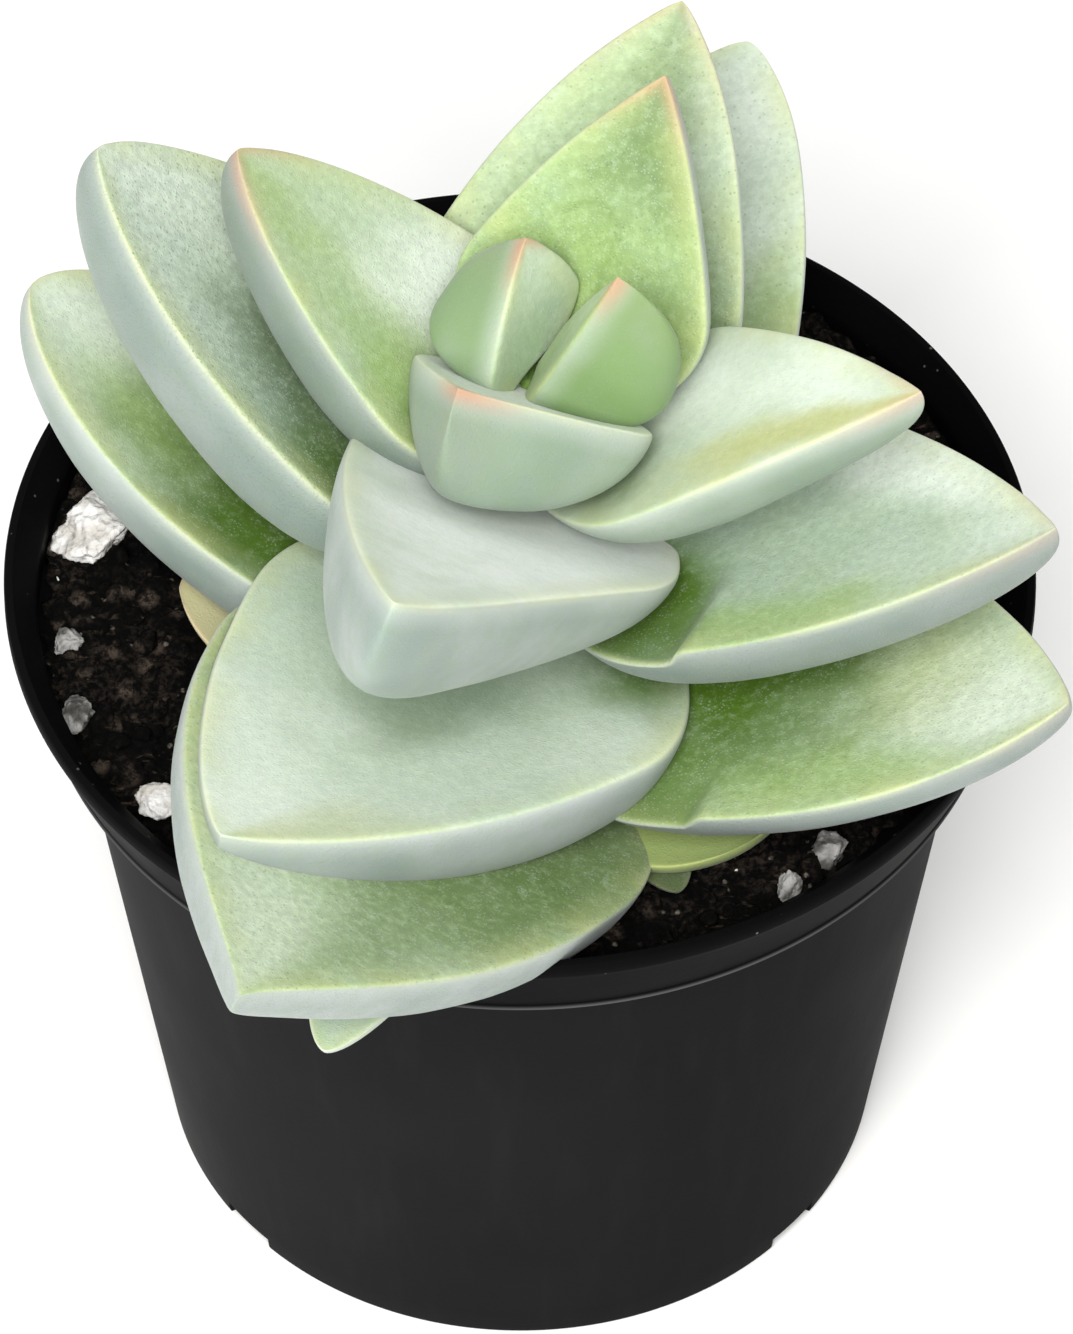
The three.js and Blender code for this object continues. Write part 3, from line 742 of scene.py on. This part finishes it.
def imprint(name, along, across, signed):
    """How far a neighbour's old imprint sinks the skin; signed is the distance from the nearer margin."""
    sunk = np.zeros_like(across)
    if name in STEPS:
        step = STEPS[name]
        past = along - step["reach"] - step["slope"] * across
        near = 1 - smooth(-STEP_SOFTNESS, STEP_SOFTNESS, past)
        side = smooth(step["from"] - step["fade"], step["from"] + step["fade"], across)
        sunk = step["depth"] * near * side * smooth(-STEP_MARGIN, 0, signed)
    if name == ARCH["leaf"]:
        up, aside = max(along - ARCH["reach"], 0), across - ARCH["middle"]
        away = np.hypot(up, aside) - ARCH["radius"]
        sunk = ARCH["depth"] * (1 - smooth(-ARCH_SOFTNESS, 0, away)) * smooth(0, ARCH_MARGIN, signed)
    return sunk


def shoulder(along, end, base_share):
    return base_share + (1 - base_share) * math.sin(min(along / end, 1) * math.pi / 2)


def leaf_section(name, along):
    """Across and up in millimetres, signed distance from the nearer margin and share on the upper face."""
    leaf = LEAVES[name]
    width = leaf.half * (1 - along ** leaf.outline[0]) ** leaf.outline[1]
    width *= shoulder(along, WIDTH_SHOULDER, CLASPING.get(name, BASE_SHARE))
    keel = leaf.depth * math.sqrt(1 - along**KEEL_BLUNTNESS) * (1 - TAPERING.get(name, KEEL_TAPER) * along)
    keel *= shoulder(along, KEEL_SHOULDER, KEEL_BASE_SHARE)
    fullness = leaf.boxy + (TIP_BOXY - leaf.boxy) * along**2
    angle = np.linspace(0, np.pi, SECTION_SAMPLES)
    across = np.sign(np.cos(angle)) * np.abs(np.cos(angle)) ** (2 / fullness)
    under = np.stack([width * across, -keel * np.clip(np.sin(angle), 0, 1) ** KEEL_SHARPNESS], axis=1)
    share = np.linspace(-1, 1, SECTION_SAMPLES // 3)[1:]
    over = np.stack([width * share, -UPPER_DISH * width * (1 - share**2)], axis=1)
    loop = np.concatenate([under, over])
    steps = np.linalg.norm(np.diff(loop, axis=0), axis=1)
    length = np.concatenate([[0], np.cumsum(steps)])
    far_margin, total = length[SECTION_SAMPLES - 1], length[-1]

    # Even points, rounded a little at the margins
    even = np.linspace(0, total, SECTION_SAMPLES, endpoint=False)
    curve = np.stack([np.interp(even, length, loop[:, i]) for i in (0, 1)], axis=1)
    curve = blurred(curve, min(MARGIN_ROUNDS.get(name, MARGIN_ROUND), MARGIN_SHARE * total) / total)

    # Fewer points, crowded at the margins
    distance = np.minimum(np.minimum(even, np.abs(even - far_margin)), total - even)
    weight = np.cumsum(1 + MARGIN_CROWD * np.exp(-((distance / MARGIN_REACH) ** 2)))
    place = np.linspace(0, 1, LEAF_POINTS, endpoint=False) * (weight[-1] - weight[0]) + weight[0]
    at = np.interp(place, weight, even)
    closed = np.append(even, total)
    across, height = (np.interp(at, closed, np.append(curve[:, i], curve[0, i])) for i in (0, 1))
    distance = np.minimum(np.minimum(at, np.abs(at - far_margin)), total - at)
    signed = np.where(at > far_margin, distance, -distance)
    return across, height, signed, smooth(*MARGIN_TURN, signed)


def blurred(curve, share):
    """A closed curve of even points, blurred by a bell whose spread is a share of the curve's length."""
    count = len(curve)
    bell = np.exp(-0.5 * (np.fft.fftfreq(count) / share) ** 2)
    spectrum = np.fft.fft(bell / bell.sum())[:, None]
    return np.real(np.fft.ifft(np.fft.fft(curve, axis=0) * spectrum, axis=0))


def leaf_piece(name):
    """A leaf as one closed mesh."""
    rows = leaf_rows(name)
    points = [rows[0].middle - rows[0].normal]
    marks = {"along": [0.0], "edge": [BASE_EDGE], "upper": [0.0], "sunk": [0.0], "aside": [0.0]}
    for row in rows:
        points.extend(row.points)
        marks["along"].extend([row.along] * LEAF_POINTS)
        marks["edge"].extend(row.signed)
        marks["upper"].extend(row.upper)
        marks["sunk"].extend(row.sunk)
        marks["aside"].extend(row.aside)
    points.append(leaf_middle(LEAVES[name], 1))
    for key, value in {"along": 1.0, "edge": 0.0, "upper": 0.5, "sunk": 0.0, "aside": 0.0}.items():
        marks[key].append(value)
    faces = []
    for i in range(LEAF_POINTS):
        after = (i + 1) % LEAF_POINTS
        faces.append((0, 1 + i, 1 + after))
        for row in range(LEAF_ROWS - 1):
            first = 1 + row * LEAF_POINTS
            second = first + LEAF_POINTS
            faces.append((first + i, second + i, second + after, first + after))
        last = 1 + (LEAF_ROWS - 1) * LEAF_POINTS
        faces.append((last + i, len(points) - 1, last + after))
    piece = mesh_object(name + "_look", points, faces, leaf_material(name), marks)
    wave(piece)
    dress(piece, "old_leaf" if name in OLD_LEAVES else "leaf", name)


def wave(piece):
    """Moves each point along its normal by gentle noise."""
    points, normals = (np.zeros(3 * len(piece.data.vertices)) for _ in range(2))
    piece.data.vertices.foreach_get("co", points)
    piece.data.vertex_normals.foreach_get("vector", normals)
    points, normals = points.reshape(-1, 3), normals.reshape(-1, 3)
    swell = np.array([noise.noise(Vector(point)) for point in points / (SKIN_WAVE_SIZE * MM)])
    piece.data.vertices.foreach_set("co", (points + normals * swell[:, None] * SKIN_WAVE * MM).ravel())
    piece.data.update()


# Pot material: ramps along X and Z are in metres
POT_INPUTS = {"Specular IOR Level": 0.01}
POT_BLACK = "#19191a"
POT_WORN = "#1d1d1e"
POT_STREAK = "#222223"
POT_SHADE_BLACK = "#060607"
POT_BEAD_HIGHLIGHT = "#4c4c4d"
POT_DUST = "#8b8985"
POT_BROAD = (25, 2)
POT_FINE = (0.7, 3)
POT_STREAKS = {"size": 3, "detail": 3, "stretch": (1, 1, 0.06)}
POT_WEAR = (0.35, 0.65)
STREAK_SHARE = (0.5, 0.75, 0, 0.4)
POT_LEFT_PAINTED_LIGHT = (-0.05, 0.05, 1.15, 0.6)
BAND_PAINTED_SHADE = (0.069, 0.0693, 0, 0.85)
BEAD_Z = 0.068775
BEAD_HIGHLIGHT_LINE = (0.0001, 0.0003, 0.9, 0)
DUST_CELLS = 1.7
DUST_CHOICE = (9, 0.8, 0.82)
DUST_DOTS = (0.06, 0.12, 1, 0)
DUST_HEIGHT = (0.0745, 0.0772)
DUST_STRENGTH = 0.4
POT_FINE_HEIGHT = 0.02
POT_STREAK_HEIGHT = 0.03
POT_GLOSS = (0.3, 0.7, 0.46, 0.56)


def pot_material():
    shade = Shade("pot", POT_INPUTS)
    broad = shade.noise(*POT_BROAD)
    fine = shade.noise(*POT_FINE)
    streaks = shade.noise(**POT_STREAKS)
    place = shade.axes()
    colour = shade.mix(shade.span(broad, *POT_WEAR), linear(POT_BLACK), linear(POT_WORN))
    colour = shade.mix(shade.span(streaks, *STREAK_SHARE), colour, linear(POT_STREAK))
    # Painted light: lighter on the left and darker on the right, after how the lamps light the pot
    colour = shade.mix(1, colour, shade.span(place["X"], *POT_LEFT_PAINTED_LIGHT), "MULTIPLY")
    # Painted shade: the band, the rim and the inside wall above the bead go near black
    colour = shade.mix(shade.span(place["Z"], *BAND_PAINTED_SHADE), colour, linear(POT_SHADE_BLACK))
    # Painted highlight: a thin light line along the bead under the band
    from_bead = shade.maths("ABSOLUTE", shade.maths("SUBTRACT", place["Z"], BEAD_Z))
    colour = shade.mix(shade.span(from_bead, *BEAD_HIGHLIGHT_LINE), colour, linear(POT_BEAD_HIGHLIGHT))
    cells = shade.cells(DUST_CELLS)
    dust = shade.product(shade.span(cells["Distance"], *DUST_DOTS), shade.chosen(cells, *DUST_CHOICE))
    dust = shade.product(dust, shade.span(place["Z"], *DUST_HEIGHT), DUST_STRENGTH)
    colour = shade.mix(dust, colour, linear(POT_DUST))
    normal = shade.bump(fine, POT_FINE_HEIGHT)
    normal = shade.bump(streaks, POT_STREAK_HEIGHT, normal)
    return shade.finish(colour, normal, shade.span(broad, *POT_GLOSS))


def pot_profile():
    """Radius and height of each corner, from the middle of the underside to the middle of the floor."""
    corners = []
    for mark, steps in POT_CORNERS:
        radius, height = POT_MARKS[mark]
        corners.extend((radius + out, height + up) for out, up in steps)
    return [(0, corners[0][1]), *corners, (0, corners[-1][1])]


def turned(profile, sectors):
    """Points and faces of a profile turned about the Z axis; it starts and ends on the axis."""
    angles = np.linspace(0, 2 * np.pi, sectors, endpoint=False)
    points = [(0, 0, profile[0][1])]
    for radius, height in profile[1:-1]:
        points.extend((radius * math.cos(a), radius * math.sin(a), height) for a in angles)
    points.append((0, 0, profile[-1][1]))
    rings = len(profile) - 2
    faces = []
    for i in range(sectors):
        after = (i + 1) % sectors
        faces.append((0, 1 + after, 1 + i))
        for ring in range(rings - 1):
            first = 1 + ring * sectors
            second = first + sectors
            faces.append((first + i, first + after, second + after, second + i))
        last = 1 + (rings - 1) * sectors
        faces.append((last + i, last + after, len(points) - 1))
    return points, faces


def pot():
    points, faces = turned(pot_profile(), POT_SIDES)
    piece = mesh_object("pot_look", points, faces, pot_material())
    for angle in NOTCH_ANGLES:
        cut_notch(piece, math.radians(angle))
    piece.data.polygons.foreach_set("use_smooth", [True] * len(piece.data.polygons))
    piece.data.set_sharp_from_angle(angle=math.radians(POT_CREASE))
    dress(piece, "pot", "pot")


def cut_notch(piece, angle):
    """Takes a drain notch out of the foot of the wall."""
    half = (NOTCH_DEPTH, NOTCH_WIDTH / 2, NOTCH_HEIGHT)
    corners = [(x, y, z) for x in (-1, 1) for y in (-1, 1) for z in (-1, 1)]
    cos, sin = math.cos(angle), math.sin(angle)
    turn = np.array([[cos, -sin, 0], [sin, cos, 0], [0, 0, 1]])
    points = [turn @ (np.array(half) * corner + (BASE_RADIUS, 0, 0)) for corner in corners]
    faces = [(0, 1, 3, 2), (4, 6, 7, 5), (0, 4, 5, 1), (2, 3, 7, 6), (0, 2, 6, 4), (1, 5, 7, 3)]
    cutter = mesh_object("notch_cutter", points, faces, piece.data.materials[0])
    modifier = piece.modifiers.new("notch", "BOOLEAN")
    modifier.object = cutter
    modifier.operation = "DIFFERENCE"
    modifier.solver = "MANIFOLD"
    shaped = bpy.data.meshes.new_from_object(piece.evaluated_get(bpy.context.evaluated_depsgraph_get()))
    piece.modifiers.clear()
    piece.data = shaped
    bpy.data.objects.remove(cutter)


# Soil


def seeded(seed):
    """A fixed run of numbers from 0 to 1."""
    step, shift, count = 1664525, 1013904223, 4294967296
    state = seed
    while True:
        state = (state * step + shift) % count
        yield state / count


def soil_rise(x, y):
    """How far the soil without its crumbs rises: a slope up to the back, and lumps."""
    broad, fine = BROAD_LUMPS, FINE_LUMPS
    broad_lump = math.sin(broad["x"] * x + broad["shift_x"]) * math.cos(broad["y"] * y + broad["shift_y"])
    across = math.sin(fine["cross_x"] * x + fine["cross_y"] * y + fine["shift"])
    fine_lump = math.sin(fine["x"] * x + fine["y"] * y) * across
    return SOIL_TILT * y + SOIL_LUMP * (broad_lump + fine["share"] * fine_lump)


def soil_height(x, y):
    """The height of the soil's crumbly surface."""
    at = Vector((x, y, 0))
    crumbs = CRUMBLE["height"] * noise.fractal(at / CRUMBLE["size"], *CRUMBLE["fractal"])
    change = 1 - noise.cell_vector(at / PIT_CHANGE["size"])[0] * PIT_CHANGE["share"]
    pits = PITS["depth"] * (PITS["middle"] - noise.voronoi(at / PITS["size"])[0][0]) * change
    return SOIL_TOP + soil_rise(x, y) + crumbs + pits


# Soil material: its fine lumps, fibres and pale bits
SOIL_INPUTS = {"Roughness": 0.95, "Specular IOR Level": 0.08}
SOIL_BLACK = "#020202"
SOIL_BROWN = "#2a241f"
SOIL_FIBRE = "#57493d"
SOIL_CLOD = "#4d433b"
SOIL_PALE = "#8f867a"
SOIL_FINE = (0.8, 5, 0.7)
SOIL_BROAD = (7, 3)
SOIL_FIBRES = {"size": 1.2, "detail": 3, "stretch": (0.25, 1.2, 1)}
BROWN_SHARE = (0.42, 0.72)
BLACK_SHARE = (0.42, 0.58, 0, 0.85)
FIBRE_SHARE = (0.63, 0.75, 0, 0.55)
CLOD_CELLS = 2.4
CLOD_CHOICE = (5, 0.6, 0.9)
CLOD_MIDDLES = (0.2, 0.6, 1, 0)
CLOD_SHARE = (0.4, 0.6, 0.1, 0.8)
BIT_CELLS = 0.9
BIT_CHOICE = (11, 0.93, 0.95)
BIT_MIDDLES = (0.15, 0.4, 1, 0)
BIT_SHARE = (0.4, 0.6, 0, 0.5)
CLOD_HEIGHT = 0.5
SOIL_FINE_HEIGHT = 0.35


def soil_material():
    shade = Shade("soil", SOIL_INPUTS)
    fine = shade.noise(*SOIL_FINE)
    broad = shade.noise(*SOIL_BROAD)
    fibres = shade.noise(**SOIL_FIBRES)
    clods = shade.cells(CLOD_CELLS)
    bits = shade.cells(BIT_CELLS)
    colour = shade.mix(shade.span(fine, *BROWN_SHARE), linear(SOIL_BLACK), linear(SOIL_BROWN))
    colour = shade.mix(shade.span(broad, *BLACK_SHARE), colour, linear(SOIL_BLACK))
    colour = shade.mix(shade.span(fibres, *FIBRE_SHARE), colour, linear(SOIL_FIBRE))
    lighter = shade.product(shade.chosen(clods, *CLOD_CHOICE), shade.span(clods["Distance"], *CLOD_MIDDLES))
    lighter = shade.product(lighter, shade.span(fine, *CLOD_SHARE))
    colour = shade.mix(lighter, colour, linear(SOIL_CLOD))
    pale = shade.product(shade.span(bits["Distance"], *BIT_MIDDLES), shade.chosen(bits, *BIT_CHOICE))
    pale = shade.product(pale, shade.span(fine, *BIT_SHARE))
    colour = shade.mix(pale, colour, linear(SOIL_PALE))
    normal = shade.bump(clods["Distance"], CLOD_HEIGHT)
    normal = shade.bump(fine, SOIL_FINE_HEIGHT, normal)
    return shade.finish(colour, normal)


def wall_inside(height):
    """The inside radius of the pot at a height above the floor."""
    corners = pot_profile()[-CORNERS_IN_SOIL - 1 : -1]
    radii, heights = zip(*reversed(corners))
    return np.interp(height, heights, radii)


def soil_edge(angle):
    """Where the soil's surface meets the wall."""
    radius = SOIL_REACH
    for _ in range(EDGE_TRIES):
        height = soil_height(radius * math.cos(angle), radius * math.sin(angle))
        radius = min(SOIL_REACH, wall_inside(height) - SOIL_GAP)
    return radius


def soil(material):
    """A crumbly disc with a skirt, closed underneath."""
    angles = [2 * math.pi * i / SOIL_SECTORS for i in range(SOIL_SECTORS)]
    edges = [soil_edge(angle) for angle in angles]
    points = [(0, 0, SOIL_TOP + soil_rise(0, 0))]
    for ring in range(1, SOIL_RINGS + 1):
        for angle, edge in zip(angles, edges):
            radius = edge * ring / SOIL_RINGS
            x, y = radius * math.cos(angle), radius * math.sin(angle)
            points.append((x, y, soil_height(x, y)))
    tops = [point[2] for point in points[-SOIL_SECTORS:]]
    for angle, edge, top in zip(angles, edges, tops):
        radius = min(edge, SOIL_SKIRT[0]) - SOIL_GAP
        height = min(top - SKIRT_DROP, SOIL_SKIRT[1])
        points.append((radius * math.cos(angle), radius * math.sin(angle), height))
    for angle in angles:
        points.append((SOIL_FOOT * math.cos(angle), SOIL_FOOT * math.sin(angle), SOIL_TOP - SOIL_DEPTH))
    points.append((0, 0, SOIL_TOP - SOIL_DEPTH))
    faces = []
    for i in range(SOIL_SECTORS):
        after = (i + 1) % SOIL_SECTORS
        faces.append((0, 1 + i, 1 + after))
        for ring in range(SOIL_RINGS + 1):
            first = 1 + ring * SOIL_SECTORS
            second = first + SOIL_SECTORS
            faces.append((first + i, second + i, second + after, first + after))
        last = 1 + (SOIL_RINGS + 1) * SOIL_SECTORS
        faces.append((last + i, len(points) - 1, last + after))
    dress(mesh_object("soil_look", points, faces, material), "soil", "soil")


def scattered(name, bits, slot, material):
    """Many rough bits on the soil, as one mesh."""
    count, seed, sizes, radii = bits
    mesh = ball("bit", BIT_SPLITS)
    shape = np.array([vertex.co[:] for vertex in mesh.vertices])
    triangles = [tuple(polygon.vertices) for polygon in mesh.polygons]
    bpy.data.meshes.remove(mesh)
    random = seeded(seed)
    points, faces = [], []
    for index in range(count):
        size = between(sizes, next(random) ** BIT_RARITY)
        angle = 2 * math.pi * next(random)
        radius = between(radii, math.sqrt(next(random)))
        flat = np.array([1, between(BIT_WIDTH, next(random)), between(BIT_HEIGHT, next(random))])
        turn = 2 * math.pi * next(random)
        tilt = BIT_TILT * (next(random) - 0.5)
        height = soil_height(radius * math.cos(angle), radius * math.sin(angle))
        radius = min(radius, wall_inside(height - size) - BIT_CLEARANCE * size)
        x, y = radius * math.cos(angle), radius * math.sin(angle)
        away = Vector((index * BIT_ROUGHNESS["apart"], 0, 0))
        swell = [noise.noise(Vector(point) * BIT_ROUGHNESS["pitch"] + away) for point in shape]
        bit = shape * (1 + BIT_ROUGHNESS["height"] * np.array(swell))[:, None] * flat * size
        lean = [[math.cos(tilt), 0, math.sin(tilt)], [0, 1, 0], [-math.sin(tilt), 0, math.cos(tilt)]]
        spin = [[math.cos(turn), math.sin(turn), 0], [-math.sin(turn), math.cos(turn), 0], [0, 0, 1]]
        bit = bit @ np.array(lean) @ np.array(spin) + (x, y, soil_height(x, y) + BIT_LIFT * size)
        start = len(points)
        points.extend(bit)
        faces.extend(tuple(start + corner for corner in face) for face in triangles)
    dress(mesh_object(name, points, faces, material), slot)


# Perlite material: white foamed grains, some darkened partly by soil stains and partly by painted shade
PERLITE_INPUTS = {"Roughness": 0.9}
PERLITE_WHITE = "#f4f3f1"
PERLITE_GREY = "#d5d1ca"
PERLITE_DIRT = "#8d867c"
PERLITE_STAIN_AND_SHADE = "#2a2724"
PERLITE_BROAD = (3, 3)
PERLITE_GRAIN = (0.5, 4, 0.65)
PERLITE_PORES = 0.8
GREY_SHARE = (0.35, 0.65)
DIRT_SHARE = (0.55, 0.75, 0, 0.4)
STAIN_AND_SHADE_SHARE = (0.4, 0.62, 0.65, 1)
WHITE_STAIN = 0.18
DARK_STAIN_AND_SHADE = 0.95
PORE_HEIGHT = 0.25
PERLITE_GRAIN_HEIGHT = 0.2


def perlite_material(name, stain_and_shade):
    """White foamed grains, darkened by the given share: soil that has rubbed off on them, and painted shade
    on lumps that lie in shadow.
    """
    shade = Shade(name, PERLITE_INPUTS)
    pores = shade.cells(PERLITE_PORES)
    grain = shade.noise(*PERLITE_GRAIN)
    broad = shade.noise(*PERLITE_BROAD)
    colour = shade.mix(shade.span(broad, *GREY_SHARE), linear(PERLITE_WHITE), linear(PERLITE_GREY))
    colour = shade.mix(shade.span(grain, *DIRT_SHARE), colour, linear(PERLITE_DIRT))
    rubbed_and_shaded = shade.product(shade.span(broad, *STAIN_AND_SHADE_SHARE), stain_and_shade)
    colour = shade.mix(rubbed_and_shaded, colour, linear(PERLITE_STAIN_AND_SHADE))
    normal = shade.bump(pores["Distance"], PORE_HEIGHT)
    normal = shade.bump(grain, PERLITE_GRAIN_HEIGHT, normal)
    return shade.finish(colour, normal)


def chipped(random):
    """The flats that chip a ball into an angular lump: directions and distances from the middle."""
    flats = []
    for _ in range(LUMP_FLATS):
        turn, height = 2 * math.pi * next(random), 2 * next(random) - 1
        flat = math.sqrt(1 - height * height)
        direction = Vector((flat * math.cos(turn), flat * math.sin(turn), height))
        flats.append((direction, between(FLAT_AWAY, next(random))))
    return flats


def lumps(white, stained_and_shaded):
    rough, apart = LUMP_ROUGHNESS, LUMP_ROUGHNESS["apart"]
    for index, (name, (centre, halves)) in enumerate(PERLITE.items()):
        mesh = ball(name, LUMP_SPLITS)
        flats = chipped(seeded(LUMP_SEED + index))
        away = Vector((index * apart[0], apart[1], 0))
        for vertex in mesh.vertices:
            at = vertex.co.copy()
            facing = [far / at.dot(flat) for flat, far in flats if at.dot(flat) > FLAT_FACING]
            swell = rough["height"] * noise.fractal(at * rough["pitch"] + away, *rough["fractal"])
            reach = min([LUMP_REACH] + facing) * (1 + swell)
            vertex.co = Vector(centre[i] + halves[i] * at[i] * reach for i in range(3)) * MM
        mesh.polygons.foreach_set("use_smooth", [True] * len(mesh.polygons))
        mesh.materials.append(stained_and_shaded if name in STAINED_AND_SHADED else white)
        dress(link(bpy.data.objects.new(name + "_look", mesh)), "perlite", name)


# Stem
STEM_INPUTS = {"Roughness": 0.6, "Subsurface Weight": 0.1, "Subsurface Scale": 0.002}
STEM_GREENS = ("#7f9e4c", "#5d7d35")
STEM_MOTTLE = (1.5, 3)
STEM_MOTTLE_SHARE = (0.35, 0.65)
STEM_MOTTLE_HEIGHT = 0.3


def stem():
    shade = Shade("stem", STEM_INPUTS)
    mottle = shade.noise(*STEM_MOTTLE)
    colour = shade.mix(shade.span(mottle, *STEM_MOTTLE_SHARE), *map(linear, STEM_GREENS))
    material = shade.finish(colour, shade.bump(mottle, STEM_MOTTLE_HEIGHT))
    profile = [(0, STEM_BOTTOM), (STEM_RADII[0], STEM_BOTTOM), (STEM_RADII[1], STEM_TOP), (0, STEM_TOP)]
    points, faces = turned(profile, STEM_SIDES)
    points = [(x + STEM_X, y, z) for x, y, z in points]
    dress(mesh_object("stem_look", points, faces, material), "stem", "stem")


# Floor, light and camera
FLOOR_WHITES = ("#f7f7f6", "#f4f4f3")
FLOOR_SHARE = (0.3, 0.7)


def stage():
    shade = Shade("floor", {"Roughness": FLOOR_ROUGHNESS})
    share = shade.span(shade.noise(*FLOOR_NOISE), *FLOOR_SHARE)
    material = shade.finish(shade.mix(share, *map(linear, FLOOR_WHITES)))
    half = FLOOR_HALF / MM
    corners = [(-half, -half, 0), (half, -half, 0), (half, half, 0), (-half, half, 0)]
    mesh_object("floor", corners, [(0, 1, 2, 3)], material)


def lamp(name, place, size, power, tint):
    light = bpy.data.lights.new(name, "AREA")
    light.shape = "DISK"
    light.size = size
    light.energy = power
    light.color = tint
    made = link(bpy.data.objects.new(name, light))
    made.location = place
    made.rotation_euler = (Vector(LAMP_AIM) - Vector(place)).to_track_quat("-Z", "Y").to_euler()


def lights():
    world = bpy.data.worlds.new("studio")
    world.use_nodes = True
    background = world.node_tree.nodes["Background"]
    background.inputs["Color"].default_value = (1, 1, 1, 1)
    background.inputs["Strength"].default_value = WORLD_STRENGTH
    bpy.context.scene.world = world
    for entry in LAMPS:
        lamp(*entry)
    settings = bpy.context.scene.view_settings
    settings.view_transform = "Standard"
    settings.look = "None"
    settings.exposure = 0
    settings.gamma = 1


def camera():
    tilt = math.radians(CAMERA_ELEVATION)
    forward = Vector((0, math.cos(tilt), -math.sin(tilt)))
    made = bpy.data.cameras.new("camera")
    made.sensor_fit = "AUTO"
    made.sensor_width = SENSOR
    made.lens = CAMERA_LENS
    made.clip_start, made.clip_end = CAMERA_CLIP
    eye = link(bpy.data.objects.new("camera", made))
    eye.location = (Vector(CAMERA_TARGET) - CAMERA_DISTANCE * forward) * MM
    eye.rotation_euler = forward.to_track_quat("-Z", "Y").to_euler()
    bpy.context.scene.camera = eye


def main():
    for name in LEAVES:
        leaf_piece(name)
    pot()
    earth = soil_material()
    soil(earth)
    scattered("soil_crumbs", SOIL_CRUMBS, "soil", earth)
    white = perlite_material("perlite", WHITE_STAIN)
    stained_and_shaded = perlite_material("perlite_stained", DARK_STAIN_AND_SHADE)
    scattered("perlite_crumbs", WHITE_CRUMBS, "perlite", white)
    lumps(white, stained_and_shaded)
    stem()
    stage()
    lights()
    camera()


main()
